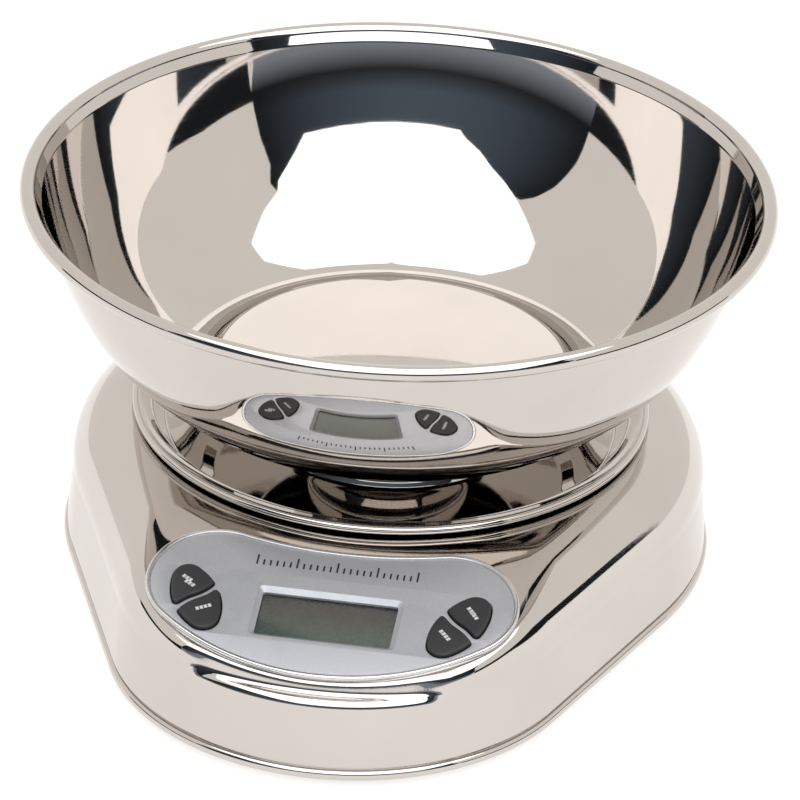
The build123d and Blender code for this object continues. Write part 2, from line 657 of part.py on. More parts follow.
def make_battery_contacts():
    """Flat plates that the positive ends touch."""
    plates = []
    for side in (-1, 1):
        plate = Box(CONTACT_T, CONTACT_SIDE, CONTACT_SIDE)
        x = side * (CELL_SHIFT + CELL_L / 2 + CONTACT_T / 2)
        y = BAY_MID_Y + side * CELL_PITCH / 2
        reach = BAY_X / 2 - abs(x)
        bracket = Box(reach + CONTACT_T / 2, BRACKET_W, CONTACT_T)
        middle = side * (abs(x) + reach / 2 - CONTACT_T / 4)
        plates.append(Pos(x, y, CELL_Z) * plate + Pos(middle, y, CELL_Z + BRACKET_RISE) * bracket)
    return plates


def make_battery_springs():
    """Plate and coil at each negative end."""
    springs = []
    for side in (-1, 1):
        y = BAY_MID_Y + side * CELL_PITCH / 2
        plate = Box(CONTACT_T, CONTACT_SIDE, CONTACT_SIDE)
        plate = Pos(-side * (BAY_X / 2 - CONTACT_T / 2), y, CELL_Z) * plate
        room = BAY_X / 2 - CONTACT_T - (CELL_L / 2 - CELL_SHIFT)
        height = room - 2 * SPRING_WIRE_R - SPRING_GAP
        path = Helix(pitch=height / SPRING_TURNS, height=height, radius=SPRING_R)
        section = Plane(origin=path @ 0, z_dir=path % 0) * Circle(SPRING_WIRE_R)
        coil = Rot(0, side * 90, 0) * sweep(section, path)
        start = Pos(-side * (BAY_X / 2 - CONTACT_T - SPRING_WIRE_R), y, CELL_Z)
        springs += [plate, start * coil]
    return springs


def make_battery_door():
    width, depth = BAY_X - 2 * DOOR_GAP, BAY_Y - 2 * DOOR_GAP
    door = slab(Pos(0, BAY_MID_Y) * Rectangle(width, depth), BASE_Z, BASE_Z + DOOR_T)
    hinge_edges = door.edges().filter_by(Axis.X).group_by(Axis.Y)[0]
    door = fillet(hinge_edges, DOOR_ROUND)
    notch = Pos(0, BAY_MID_Y + depth / 2 - NOTCH[1]) * RectangleRounded(*NOTCH, NOTCH_R)
    return door - slab(notch, 0, BASE_Z + NOTCH_DEPTH)


# ---- internal leads


def lead(points, radii, radius):
    """Round lead along straight runs joined by tangent arcs."""
    route = FilletPolyline(*points, radius=radii)
    section = Plane(origin=route @ 0, z_dir=route % 0) * Circle(radius)
    return sweep(section, route)


def under_board(u, v, drop):
    """A point below the board, along the panel's normal."""
    return panel.from_local_coords(Vector(u, v, PCB_TOP_N - PCB_T - drop))


def make_battery_lead(side):
    """From a battery terminal along the base to the board."""
    flat = [(BAY_X / 2 + BAY_WALL, BAY_MID_Y), (LEAD_OUT_X, BAY_MID_Y),
            (LEAD_SIDE_X, LEAD_BACK_Y), (LEAD_SIDE_X, LEAD_FRONT_Y)]
    points = [(side * x, y, LEAD_Z) for x, y in flat]
    points += [under_board(side * BOARD_U, BOARD_V, drop) for drop in (BOARD_DROP, 0)]
    return lead(points, LEAD_BENDS, LEAD_R)


def make_load_cell_cable():
    side_y = -BEAM_W / 2
    points = [(CABLE_X, y, BEAM_Z + CABLE_RISE) for y in (side_y, side_y - CABLE_OUT)]
    points += [(CABLE_X, CABLE_FRONT_Y, CABLE_LOW_Z)]
    points += [under_board(0, BOARD_V, drop) for drop in (BOARD_DROP, 0)]
    return lead(points, CABLE_BENDS, CABLE_R)


def build():
    """All pieces by node name, in the scale frame."""
    pieces = {
        "bowl": make_bowl(),
        "platform_tray": make_platform_tray(),
        "platform_carrier": make_platform_carrier(),
        "tray_grommets": make_tray_grommets(),
        "load_cell": make_load_cell(),
        "gauge_coating": make_gauge_coating(),
        "load_cell_base_screws": make_load_cell_base_screws(),
        "load_cell_carrier_screws": make_load_cell_carrier_screws(),
        "overload_stop_screw": make_overload_stop_screw(),
        "upper_shell": make_upper_shell(),
        "inner_frame": make_inner_frame(),
        "base_plate": make_base_plate(),
        "base_screws": make_base_screws(),
        "display_bezel": make_display_bezel(),
        "lcd_window": make_lcd_window(),
        "lcd_panel": make_lcd_panel(),
        "lcd_holder": make_lcd_holder(),
        "lcd_connector": make_lcd_connector(),
        "main_pcb": make_main_pcb(),
        "pcb_screws": make_pcb_screws(),
        "key_switches": make_key_switches(),
        "chip_coating": make_chip_coating(),
        "battery_left": make_battery(-1),
        "battery_right": make_battery(1),
        "battery_contacts": make_battery_contacts(),
        "battery_springs": make_battery_springs(),
        "battery_door": make_battery_door(),
        "battery_lead_red": make_battery_lead(1),
        "battery_lead_black": make_battery_lead(-1),
        "load_cell_cable": make_load_cell_cable(),
    }
    for name, (x, y) in FOOT_SPOTS.items():
        pieces[name] = make_foot(x, y)
    for name, face in key_faces().items():
        pieces[name] = make_key(face)
    return pieces


def main():
    os.makedirs("parts", exist_ok=True)
    for name, shape in build().items():
        solids = shape if isinstance(shape, list) else [shape]
        group = Compound(children=[place(solid) for solid in solids])
        export_step(group, f"parts/{name}.step")


if __name__ == "__main__":
    main()
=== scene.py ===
import json
import math

import bmesh
import bpy
import numpy as np
from mathutils import Matrix, Vector


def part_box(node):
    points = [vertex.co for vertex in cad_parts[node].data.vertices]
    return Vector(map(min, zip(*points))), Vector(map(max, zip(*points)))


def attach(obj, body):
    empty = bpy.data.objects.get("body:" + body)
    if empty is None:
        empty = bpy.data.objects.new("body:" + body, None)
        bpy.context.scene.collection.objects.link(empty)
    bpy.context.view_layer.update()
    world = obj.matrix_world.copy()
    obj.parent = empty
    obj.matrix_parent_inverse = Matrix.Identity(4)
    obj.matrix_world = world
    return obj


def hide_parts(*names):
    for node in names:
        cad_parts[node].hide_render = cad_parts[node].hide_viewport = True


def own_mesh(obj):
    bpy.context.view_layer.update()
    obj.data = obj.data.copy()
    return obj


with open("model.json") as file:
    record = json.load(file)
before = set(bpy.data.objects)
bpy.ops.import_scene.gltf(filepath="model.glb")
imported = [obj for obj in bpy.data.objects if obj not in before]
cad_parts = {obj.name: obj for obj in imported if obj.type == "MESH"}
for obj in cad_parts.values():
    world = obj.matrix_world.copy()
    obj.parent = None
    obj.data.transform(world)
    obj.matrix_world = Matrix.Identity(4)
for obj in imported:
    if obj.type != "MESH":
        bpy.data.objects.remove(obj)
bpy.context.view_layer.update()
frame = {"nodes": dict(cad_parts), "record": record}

MM = 0.001
TAU = 2 * math.pi

# Place of the scale's own frame: Z axis through the bowl, z = 0 at the bottom of the housing's lip.
bowl_low, bowl_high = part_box("bowl")
AXIS = Vector(((bowl_low.x + bowl_high.x) / 2, (bowl_low.y + bowl_high.y) / 2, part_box("upper_shell")[0].z))

# Housing, millimetres
REAR_R, FRONT_R, FRONT_D = 100.0, 72.2, 73.8
SHEET = 0.8
LIP_OUT, LIP_H, LIP_ROUND = 0.48, 3.4, 1.5
SKIRT_IN, CREASE_IN = 0.4, 2.2
SKIRT_Z, CREASE_Z, TOP_Z = 4.4, 24.0, 44.0
SHOULDER_R = 17.5
TRAY_HOLE_R = 75.0
SECTION_Z = 12.0  # the skirt's lower part is straight; the section is worked out above this
LEDGE_Z = 25.5  # step above the front of the skirt
LEDGE_HALF, LEDGE_DEPTH = 49.0, 5.2
LEDGE_DRAFT = math.radians(17)
LEDGE_EDGE, LEDGE_FILLET = 3.0, 1.4  # softness of the step's edge and of its inner corner
STEP_FULL, STEP_LEAST = 3.6, 2.0  # the step is fully formed from the first depth on
SIDE_COLUMNS = 720

# Bowl and tray, (radius, height) in millimetres
BOWL_BOTTOM_Z, BOWL_WALL_TOP_Z = 59.3, 117.3
BOWL_FOOT_END = (67.5, 56.4)
BOWL_BEAD, BOWL_BEAD_R = (112.58, 118.6), 2.38
TRAY_BOSS_R, TRAY_BOSS_Z, TRAY_DISH_Z = 24.2, 58.4, 38.7
TRAY_EDGE_R = 77.2
TRAY_BEAD, TRAY_BEAD_R = (78.6, 46.2), 1.4

# Control panel
PANEL_Y = -88.0
TILT = math.radians(15)
FACET_N = -1.5
PU = np.array([1.0, 0.0, 0.0])
PV = np.array([0.0, math.cos(TILT), math.sin(TILT)])
PN = np.array([0.0, -math.sin(TILT), math.cos(TILT)])
PANEL_O = np.array([0.0, PANEL_Y, TOP_Z])
WINDOW_U, WINDOW_V, WINDOW_MID_V = 40.4, 17.0, -28.2
WINDOW_FLARE = 2.8  # how much wider the window is at the face than at its inner edge
FACE_N, PLATE_BACK_N = 0.0, -2.0
KEY_GAP = 0.35


# ---- plane curves, in millimetres


def circle_through(p, q, s):
    (ax, ay), (bx, by), (cx, cy) = p, q, s
    d = 2 * (ax * (by - cy) + bx * (cy - ay) + cx * (ay - by))
    pa, pb, pc = ax * ax + ay * ay, bx * bx + by * by, cx * cx + cy * cy
    x = (pa * (by - cy) + pb * (cy - ay) + pc * (ay - by)) / d
    y = (pa * (cx - bx) + pb * (ax - cx) + pc * (bx - ax)) / d
    return np.array([x, y]), math.hypot(ax - x, ay - y)


def arc3(p, q, s, n):
    """n + 1 points from p to s on the circle through q."""
    c, r = circle_through(p, q, s)
    a, b, e = (math.atan2(k[1] - c[1], k[0] - c[0]) for k in (p, q, s))
    turn = (e - a) % TAU
    if (b - a) % TAU > turn:
        turn -= TAU
    t = a + turn * np.linspace(0, 1, n + 1)
    return [(c[0] + r * math.cos(x), c[1] + r * math.sin(x)) for x in t]


def tangent_arc(p, direction, q, n):
    """n + 1 points from p to q on the circle that leaves p along direction."""
    p, q = np.array(p, float), np.array(q, float)
    t = np.array(direction, float)
    t /= np.linalg.norm(t)
    side = np.array([-t[1], t[0]])
    w = q - p
    r = (w @ w) / (2 * (w @ side))
    c = p + side * r
    mid = (p + q) / 2 - c
    mid = c + mid / np.linalg.norm(mid) * abs(r)
    return arc3(tuple(p), tuple(mid), tuple(q), n)


def rounded(points, radii, n=6):
    """Polyline with its inner corners replaced by arcs."""
    out = [points[0]]
    for a, b, c, r in zip(points, points[1:], points[2:], radii):
        a, b, c = (np.array(k, float) for k in (a, b, c))
        u, v = (a - b) / np.linalg.norm(a - b), (c - b) / np.linalg.norm(c - b)
        half = math.acos(max(-1, min(1, u @ v))) / 2
        if r == 0 or half > math.pi / 2 - 1e-3:
            out.append(tuple(b))
            continue
        reach = r / math.tan(half)
        middle = b + (u + v) / np.linalg.norm(u + v) * (r / math.sin(half))
        start, end = b + u * reach, b + v * reach
        inner = middle + (b - middle) / np.linalg.norm(b - middle) * r
        out += arc3(tuple(start), tuple(inner), tuple(end), n)
    return out + [points[-1]]


def shifted(points, amount):
    """Polyline moved to its left by amount."""
    p = np.array(points, float)
    t = np.gradient(p, axis=0)
    seg = np.diff(p, axis=0)
    seg /= np.linalg.norm(seg, axis=1)[:, None]
    t[1:-1] = seg[1:] + seg[:-1]
    t[0], t[-1] = seg[0], seg[-1]
    t /= np.linalg.norm(t, axis=1)[:, None]
    return [tuple(k) for k in p + amount * np.stack([-t[:, 1], t[:, 0]], 1)]


# ---- meshes


def new_object(name, verts, faces, body, slot, material, sharp=None):
    """verts are millimetres in the scale's frame."""
    mesh = bpy.data.meshes.new(name)
    v = np.array(verts, float) * MM + np.array(AXIS)
    mesh.from_pydata(v.tolist(), [], faces)
    mesh.validate()
    mesh.shade_smooth()
    if sharp is not None:
        mesh.set_sharp_from_angle(angle=math.radians(sharp))
    obj = bpy.data.objects.new(name, mesh)
    bpy.context.scene.collection.objects.link(obj)
    obj.data.materials.append(material)
    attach(obj, body)
    return obj


def spun_mesh(profile, n):
    """Closed profile of (radius, height) that starts and ends on the axis, turned about it."""
    a = np.linspace(0, TAU, n, endpoint=False)
    c, s = np.cos(a), np.sin(a)
    inner = np.array(profile[1:-1], float)
    rings = np.stack([inner[:, :1] * c, inner[:, :1] * s, np.repeat(inner[:, 1:], n, 1)], 2)
    verts = [(0, 0, profile[0][1])] + rings.reshape(-1, 3).tolist() + [(0, 0, profile[-1][1])]
    last = len(verts) - 1
    faces = []
    for j in range(n):
        k = (j + 1) % n
        faces.append((0, 1 + k, 1 + j))
        for i in range(len(inner) - 1):
            low, high = 1 + i * n, 1 + (i + 1) * n
            faces.append((low + j, low + k, high + k, high + j))
        top = 1 + (len(inner) - 1) * n
        faces.append((top + j, top + k, last))
    return verts, faces


def sheet_profile(path, bead, bead_r, start, end):
    """Sheet of even thickness along path, whose edge runs into a bead."""
    turn = np.radians(np.linspace(start, end, 40))
    roll = [(bead[0] + bead_r * math.cos(t), bead[1] + bead_r * math.sin(t)) for t in turn]
    inner = shifted(path, SHEET)
    inner[0] = (0.0, inner[0][1])
    return path + roll + inner[::-1]


def bowl_profile():
    """Underside of the bowl: raised bottom, foot ring, turn and wall, then its rolled rim."""
    base = rounded([(0, BOWL_BOTTOM_Z), (54, BOWL_BOTTOM_Z), (58, 56.1), (60, 55.76)], [1.6, 2.0])
    ring = arc3((58, 56.1), (63, 55.5), BOWL_FOOT_END, 10)
    ring = [p for p in ring if p[0] > 60.2]
    wall = arc3((99.4, 89.5), (103.7, 99.5), (109.7, 118.9), 40)
    wall = [p for p in wall if p[1] < BOWL_WALL_TOP_Z]
    start = np.array(wall[0]) - np.array(wall[1])
    turn = tangent_arc(wall[0], start, BOWL_FOOT_END, 44)[::-1]
    flat = [(r, BOWL_BOTTOM_Z) for r in (0, 12, 24, 36, 48)]
    body = flat + base[1:] + ring + turn[1:] + wall[1:]
    return sheet_profile(body, BOWL_BEAD, BOWL_BEAD_R, 205, 532)


def tray_profile():
    """Underside of the tray: boss, raised ring, dish and flared edge, then its rolled rim."""
    path = rounded(
        [(0, TRAY_BOSS_Z), (TRAY_BOSS_R, TRAY_BOSS_Z), (TRAY_BOSS_R, 41.1), (41, 41.1), (42, TRAY_DISH_Z),
         (70, TRAY_DISH_Z), (74.4, 45.8), (77.4, 46.9)],
        [1.4, 1.4, 0.9, 1.2, 2.4, 2.0])
    spread = []
    for a, b in zip(path, path[1:]):
        k = max(1, int(math.dist(a, b) / 3))
        spread += [(a[0] + (b[0] - a[0]) * i / k, a[1] + (b[1] - a[1]) * i / k) for i in range(k)]
    return sheet_profile([p for p in spread if p[0] < TRAY_EDGE_R], TRAY_BEAD, TRAY_BEAD_R, 168, 500)


# ---- housing


def on_side(share, normal):
    """Point of the outline's straight side, from its rear end to its front end as share goes to 1."""
    radius = REAR_R * (1 - share) + FRONT_R * share
    return radius * normal[0], radius * normal[1] - FRONT_D * share


def outline_columns():
    """Points and outward normals round the housing's plan outline."""
    lean = math.asin((REAR_R - FRONT_R) / FRONT_D)  # turn of the straight sides' normals
    straight = math.sqrt(FRONT_D**2 - (REAR_R - FRONT_R) ** 2)
    rear, front = REAR_R * (math.pi + 2 * lean), FRONT_R * (math.pi - 2 * lean)
    total = rear + front + 2 * straight
    points, normals = [], []
    for s in np.arange(SIDE_COLUMNS) / SIDE_COLUMNS * total:
        if s < rear:
            a = -lean + s / REAR_R
            n = (math.cos(a), math.sin(a))
            p = (REAR_R * n[0], REAR_R * n[1])
        elif s < rear + straight:
            n = (-math.cos(lean), -math.sin(lean))
            p = on_side((s - rear) / straight, n)
        elif s < rear + straight + front:
            a = math.pi + lean + (s - rear - straight) / FRONT_R
            n = (math.cos(a), math.sin(a))
            p = (FRONT_R * n[0], FRONT_R * n[1] - FRONT_D)
        else:
            n = (math.cos(lean), -math.sin(lean))
            p = on_side(1 - (s - rear - straight - front) / straight, n)
        points.append(p)
        normals.append(n)
    return np.array(points), np.array(normals)


def ledge_depths(points, normals):
    """How far the step's wall stands inside the plain wall, for each column."""
    plain = FRONT_R - CREASE_IN
    end_y = -FRONT_D - math.sqrt(plain**2 - LEDGE_HALF**2)
    mid = (0.0, LEDGE_DEPTH - plain - FRONT_D)
    centre, radius = circle_through((-LEDGE_HALF, end_y), mid, (LEDGE_HALF, end_y))
    rise = centre[1] + FRONT_D
    c = -normals[:, 1]
    reach = -rise * c + np.sqrt(np.maximum(rise**2 * c**2 - rise**2 + radius**2, 0))
    return np.where(points[:, 1] < -FRONT_D, np.maximum(0.0, plain - reach), 0.0)


def soft_min(a, b, k):
    """Smaller of the two, rounded over where they differ by less than k."""
    h = np.maximum(k - np.abs(a - b), 0) / k
    return np.minimum(a, b) - h * h * k / 4


def facet_height(y, inset):
    return TOP_Z + (y - PANEL_Y) * math.tan(TILT) + (FACET_N - inset) / math.cos(TILT)


def depth_inside(d, z, y, step, inset):
    """Positive inside the housing; d is measured inward from the outline, and step is the depth of the
    step's wall there, or None for the plain section."""
    r = SHOULDER_R - inset
    corner = r - np.hypot(np.maximum(0, CREASE_IN + SHOULDER_R - d), np.maximum(0, z - (TOP_Z - SHOULDER_R)))
    facet = (facet_height(y, inset) - z) * math.cos(TILT)
    skirt = d - inset - SKIRT_IN - (z - SKIRT_Z) * (CREASE_IN - SKIRT_IN) / (CREASE_Z - SKIRT_Z)
    wall = np.where(z < CREASE_Z, skirt, corner)
    if step is None:
        return soft_min(wall, facet, 2.4)
    lower = soft_min(skirt, LEDGE_Z - inset - z, LEDGE_EDGE)
    draft = math.tan(LEDGE_DRAFT) * np.maximum(facet_height(y, 0) - np.maximum(z, LEDGE_Z), 0)
    upper = soft_min(soft_min(wall, d - CREASE_IN - step - inset + draft, 0.8), facet, 1.2)
    return -soft_min(-lower, -upper, LEDGE_FILLET)


def section(points, normals, step, inset, count):
    """From the skirt over the step and the shoulder to the top, count points for each column."""
    end_d = CREASE_IN + SHOULDER_R
    centre_d = end_d + 2
    start_z = SECTION_Z - inset
    y_end = points[:, 1] - end_d * normals[:, 1]
    top = np.minimum(TOP_Z - inset, facet_height(y_end, inset))
    last = np.arctan2(top - start_z, np.full(len(top), centre_d - end_d))
    theta = np.linspace(0, 1, 520)[None, :] * last[:, None]

    def reach(depth):
        low, high = np.zeros_like(theta), np.full_like(theta, 60.0)
        for _ in range(36):
            mid = (low + high) / 2
            d = centre_d - mid * np.cos(theta)
            z = start_z + mid * np.sin(theta)
            y = points[:, 1:2] - d * normals[:, 1:2]
            inside = depth_inside(d, z, y, depth, inset) > 0
            low, high = np.where(inside, mid, low), np.where(inside, high, mid)
        return low

    share = np.clip(step / STEP_FULL, 0, 1)[:, None]
    share = share * share * (3 - 2 * share)
    run_out = (1 - share) * reach(None) + share * reach(np.maximum(step, STEP_LEAST)[:, None])
    d = centre_d - run_out * np.cos(theta)
    z = start_z + run_out * np.sin(theta)
    lengths = np.hypot(np.diff(d), np.diff(z))
    bend = np.abs(np.diff(np.unwrap(np.arctan2(np.diff(z), np.diff(d))), prepend=0))
    bend[:, 0] = 0
    weight = lengths / lengths.sum(1, keepdims=True) + 0.8 * bend / bend.sum(1, keepdims=True)
    run = np.concatenate([np.zeros((len(d), 1)), np.cumsum(weight, 1)], 1)
    out = np.zeros((len(d), count, 2))
    for i in range(len(d)):
        at = np.linspace(0, run[i, -1], count)
        out[i, :, 0] = np.interp(at, run[i], d[i])
        out[i, :, 1] = np.interp(at, run[i], z[i])
    return out


def top_height(y, inset):
    """Height of the flat top and of the sloped facet, softly joined."""
    flat = np.full_like(y, TOP_Z - inset)
    return soft_min(flat, facet_height(y, inset), 2.4)


def make_shell(material):
    points, normals = outline_columns()
    step = ledge_depths(points, normals)

    def in_columns(profile):
        d, z = profile[:, :, 0], profile[:, :, 1]
        x = points[:, 0:1] - d * normals[:, 0:1]
        y = points[:, 1:2] - d * normals[:, 1:2]
        return np.stack([x, y, z], 2)

    def same(profile):
        return in_columns(np.repeat(np.array(profile, float)[None], len(points), 0))

    def inward(profile, inset, count):
        start = in_columns(profile)[:, -1, :2]
        end = start / np.linalg.norm(start, axis=1)[:, None] * TRAY_HOLE_R
        t = np.linspace(0, 1, count + 1)[1:]
        xy = start[:, None] + (end - start)[:, None] * t[None, :, None]
        return np.concatenate([xy, top_height(xy[:, :, 1], inset)[:, :, None]], 2)

    lip = rounded([(2.4, 0), (-LIP_OUT, 0), (-LIP_OUT, LIP_H), (1.2, LIP_H), (1.2, SKIRT_Z),
                   (SKIRT_IN, SKIRT_Z), (0.5, 5.4)], [LIP_ROUND, LIP_ROUND, 0.15, 0.2, 0.2], 7)
    skirt = [(SKIRT_IN + (CREASE_IN - SKIRT_IN) * (z - SKIRT_Z) / (CREASE_Z - SKIRT_Z), z)
             for z in (5.9, 7.4, 9.0, 10.5)]
    outer = section(points, normals, step, 0, 96)
    inner = section(points, normals, step, SHEET, 30)
    loops = [same(lip[:-1]), same(skirt), in_columns(outer), inward(outer, 0, 26),
             inward(inner, SHEET, 12)[:, ::-1], in_columns(inner)[:, ::-1], same([(1.28, 5.2), (2.4, 5.2)])]
    grid = np.concatenate(loops, 1)
    n, m = grid.shape[:2]
    faces = []
    for i in range(n):
        k = (i + 1) % n
        for j in range(m):
            h = (j + 1) % m
            faces.append((i * m + j, k * m + j, k * m + h, i * m + h))
    shell = new_object("upper_shell_skin", grid.reshape(-1, 3), faces, "base", "polished_steel", material)
    cutter = prism("panel_hole", bean_loop(-1.4), -12, 1.5)
    cut(shell, cutter)
    return shell


# ---- panel


def on_panel(u, v, n):
    return PANEL_O + u * PU + v * PV + n * PN


def bean_loop(grow, count=220):
    """Outline of the panel, offset outward by grow, as points (u, v) in even steps."""
    front_r, front_v, back_r, back_v, end_r = 73.0, 20.5, 130.0, 128.7, 21.0
    near, far = front_r - end_r, back_r + end_r
    span = back_v - front_v
    rise = (near**2 - far**2 + span**2) / (2 * span)
    eu, ev = math.sqrt(near**2 - rise**2), front_v + rise
    a = math.atan2(ev - front_v, eu)
    b = math.atan2(ev - back_v, eu)
    path = []
    for t in np.linspace(-math.pi - a, a, 90)[:-1]:
        path.append(((front_r + grow) * math.cos(t), front_v + (front_r + grow) * math.sin(t)))
    for t in np.linspace(a, b + math.pi, 60)[:-1]:
        path.append((eu + (end_r + grow) * math.cos(t), ev + (end_r + grow) * math.sin(t)))
    for t in np.linspace(b, -math.pi - b, 60)[:-1]:
        path.append(((back_r - grow) * math.cos(t), back_v + (back_r - grow) * math.sin(t)))
    for t in np.linspace(-b, math.pi - a, 60)[:-1]:
        path.append((-eu + (end_r + grow) * math.cos(t), ev + (end_r + grow) * math.sin(t)))
    return path


def prism(name, loop, low, high):
    """Closed prism on the panel, for cutting."""
    n = len(loop)
    verts = [on_panel(u, v, low) for u, v in loop] + [on_panel(u, v, high) for u, v in loop]
    faces = [tuple(range(n))[::-1], tuple(range(n, 2 * n))]
    faces += [(i, (i + 1) % n, n + (i + 1) % n, n + i) for i in range(n)]
    mesh = bpy.data.meshes.new(name)
    mesh.from_pydata((np.array(verts) * MM + np.array(AXIS)).tolist(), [], faces)
    obj = bpy.data.objects.new(name, mesh)
    bpy.context.scene.collection.objects.link(obj)
    return obj


def cut(obj, cutter):
    """Takes the cutter's volume away and deletes the cutter."""
    modifier = obj.modifiers.new("cut", "BOOLEAN")
    modifier.object = cutter
    modifier.operation = "DIFFERENCE"
    modifier.solver = "EXACT"
    bpy.context.view_layer.update()
    mesh = bpy.data.meshes.new_from_object(obj.evaluated_get(bpy.context.evaluated_depsgraph_get()))
    obj.modifiers.clear()
    obj.data = mesh
    mesh.set_sharp_from_angle(angle=math.radians(40))
    bpy.data.objects.remove(cutter)


def frame_loop(points):
    """Outward unit normals of a closed counter-clockwise loop."""
    p = np.array(points, float)
    t = np.roll(p, -1, 0) - np.roll(p, 1, 0)
    t /= np.linalg.norm(t, axis=1)[:, None]
    return p, np.stack([t[:, 1], -t[:, 0]], 1)


def swept(name, loop, profile, body, slot, material, sharp=None):
    """Profile of (outward offset, height) carried round a closed loop on the panel."""
    p, nrm = frame_loop(loop)
    count, m = len(p), len(profile)
    verts = [on_panel(*(p[i] + off * nrm[i]), h) for i in range(count) for off, h in profile]
    faces = [(i * m + j, (i + 1) % count * m + j, (i + 1) % count * m + j + 1, i * m + j + 1)
             for i in range(count) for j in range(m - 1)]
    return new_object(name, verts, faces, body, slot, material, sharp)


def rounded_box(w, h, r, n=8):
    """Counter-clockwise loop of a rounded rectangle round the window's middle."""
    loop = []
    for k, (sx, sy) in enumerate(((1, -1), (1, 1), (-1, 1), (-1, -1))):
        start = -math.pi / 2 + k * math.pi / 2
        for t in np.linspace(start, start + math.pi / 2, n):
            u, v = sx * (w / 2 - r) + r * math.cos(t), sy * (h / 2 - r) + r * math.sin(t)
            loop.append((u, WINDOW_MID_V + v))
    return loop


def plate(name, loops, low, high, bevel, material):
    """Flat plate with holes on the panel, its edges rounded by bevel."""
    curve = bpy.data.curves.new(name, "CURVE")
    curve.dimensions = "2D"
    curve.fill_mode = "BOTH"
    for loop in loops:
        spline = curve.splines.new("POLY")
        spline.points.add(len(loop) - 1)
        for point, (u, v) in zip(spline.points, loop):
            point.co = (u, v, 0, 1)
        spline.use_cyclic_u = True
    curve.extrude = (high - low) / 2 - bevel
    curve.bevel_depth = bevel
    curve.bevel_resolution = 3
    curve.offset = -bevel
    source = bpy.data.objects.new(name, curve)
    bpy.context.scene.collection.objects.link(source)
    bpy.context.view_layer.update()
    mesh = bpy.data.meshes.new_from_object(source.evaluated_get(bpy.context.evaluated_depsgraph_get()))
    bpy.data.objects.remove(source)
    middle = (low + high) / 2
    verts = [on_panel(v.co.x, v.co.y, v.co.z + middle) for v in mesh.vertices]
    faces = [tuple(f.vertices) for f in mesh.polygons]
    obj = new_object(name, verts, faces, "base", "silver_plastic", material)
    weld(obj, 0.00001)
    obj.data.set_sharp_from_angle(angle=math.radians(35))
    return obj


def weld(obj, distance):
    b = bmesh.new()
    b.from_mesh(obj.data)
    bmesh.ops.remove_doubles(b, verts=b.verts, dist=distance)
    bmesh.ops.recalc_face_normals(b, faces=b.faces)
    b.to_mesh(obj.data)
    b.free()


def rim_profile():
    """The panel's bright rim as (outward offset, height): foot, outer wall, rounded crest, inner wall."""
    rim = [(-3.0, -5.0), (-3.0, -1.9), (-1.8, -1.9), (-1.8, -1.4), (-0.1, -1.4), (0, -1.3), (0, -0.15)]
    rim += [(-0.65 * (1 - math.cos(t)), -0.15 + 0.65 * math.sin(t)) for t in np.linspace(0.2, math.pi / 2, 7)]
    rim += [(-1.15 - 0.35 * math.sin(t), 0.15 + 0.35 * math.cos(t)) for t in np.linspace(0, math.pi / 2, 6)]
    return rim + [(-1.5, -0.5), (-1.8, -0.5), (-1.8, -1.9)]


def make_window_bevel(outer, inner, material):
    """Sloped frame of the window, from its outline at the face down to the display."""
    verts = []
    for (a, b), (c, d) in zip(outer, inner):
        verts += [on_panel(a * 1.004, b, -0.3), on_panel(a, b, -0.02), on_panel(c, d, -1.2),
                  on_panel(c, d, PLATE_BACK_N)]
    n = len(outer)
    faces = [(i * 4 + j, (i + 1) % n * 4 + j, (i + 1) % n * 4 + j + 1, i * 4 + j + 1)
             for i in range(n) for j in range(3)]
    return new_object("window_bevel", verts, faces, "base", "silver_plastic", material, 25)


def key_loop(node):
    """Outline of a key's cap in panel coordinates, counter-clockwise, from the frame's own mesh."""
    found = set()
    for v in frame["nodes"][node].data.vertices:
        p = (np.array(v.co) - np.array(AXIS)) / MM - PANEL_O
        u, w, n = p @ PU, p @ PV, p @ PN
        if abs(n - 0.5) < 0.03:
            found.add((round(u, 3), round(w, 3)))
    pts = np.array(sorted(found))
    c = pts.mean(0)
    pts = pts[np.argsort(np.arctan2(pts[:, 1] - c[1], pts[:, 0] - c[0]))]
    run = np.concatenate([[0], np.cumsum(np.hypot(*np.diff(np.vstack([pts, pts[:1]]), axis=0).T))])
    at = np.linspace(0, run[-1], 121)[:-1]
    closed = np.vstack([pts, pts[:1]])
    even = np.stack([np.interp(at, run, closed[:, 0]), np.interp(at, run, closed[:, 1])], 1)
    for _ in range(2):
        even = even * 0.5 + (np.roll(even, 1, 0) + np.roll(even, -1, 0)) * 0.25
    return even


def offset_loop(loop, amount):
    p, n = frame_loop(loop)
    return [tuple(k) for k in p + amount * n]


